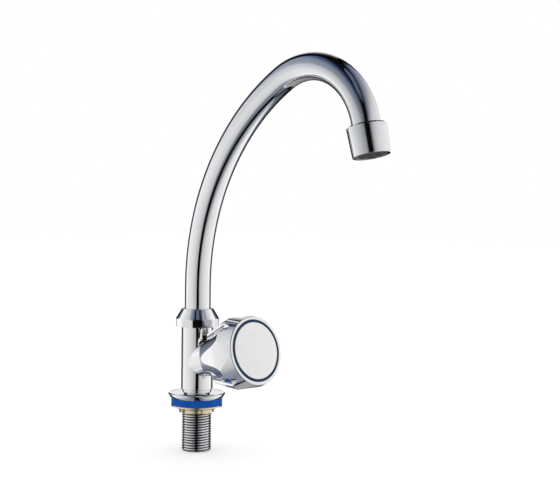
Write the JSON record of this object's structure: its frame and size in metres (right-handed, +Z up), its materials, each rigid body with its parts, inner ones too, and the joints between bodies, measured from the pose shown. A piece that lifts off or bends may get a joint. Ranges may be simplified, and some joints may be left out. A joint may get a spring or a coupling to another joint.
{
  "type": "pillar tap",
  "caption": "Deck pillar tap with a swivelling swan-neck spout, an aerator and a screw-down valve turned by a lobed handle on a raised side boss.",
  "frame": {"origin": "on the column's vertical axis, in the deck plane that the gasket seats on", "axes": "+Z up along the column, -Y to the front, where the spout and the handle point"},
  "size_m": [0.0484, 0.19, 0.2726],
  "materials": {
    "chrome": "polished",
    "brass": "satin",
    "gasket_rubber": "satin",
    "seal_rubber": "matte",
    "fibre": "matte",
    "indicator_blue": "gloss",
    "cap_white": "satin",
    "natural_plastic": "matte",
    "steel": "satin"
  },
  "bodies": {
    "body": {"tap_body": "chrome", "inlet_tailpiece": "chrome", "deck_gasket": "gasket_rubber", "lock_nut": "brass", "spout_nut": "chrome", "headwork_body": "brass", "headwork_washer": "fibre"},
    "spout": {"spout_tube": "chrome", "spout_nipple": "brass", "spout_o_rings": "seal_rubber", "spout_slip_ring": "natural_plastic", "spout_outlet_nipple": "brass", "aerator_housing": "chrome", "aerator_washer": "seal_rubber", "aerator_insert": "natural_plastic", "aerator_screen": "steel"},
    "handle": {"handle_shell": "chrome", "indicator_ring": "indicator_blue", "handle_cap": "cap_white", "handle_screw": "steel", "spindle": "brass", "spindle_o_rings": "seal_rubber", "spindle_circlip": "steel"},
    "valve": {"valve_carrier": "brass", "seat_washer": "seal_rubber", "seat_washer_nut": "brass"}
  },
  "joints": [
    {"name": "spout_swivel", "type": "hinge", "parent": "body", "child": "spout", "pos_m": [0, 0, 0.06], "axis": [0, 0, 1], "continuous": true},
    {"name": "handle_turn", "type": "hinge", "parent": "body", "child": "handle", "pos_m": [0, 0, 0.0301], "axis": [0, -0.9744, 0.225], "range_deg": [0, 720]},
    {"name": "valve_lift", "type": "slide", "parent": "body", "child": "valve", "axis": [0, -0.9744, 0.225], "range_m": [0, 0.004]}
  ],
  "couplings": [
    {"joint": "valve_lift", "follows": "handle_turn", "m_per_rad": 0.000318}
  ]
}
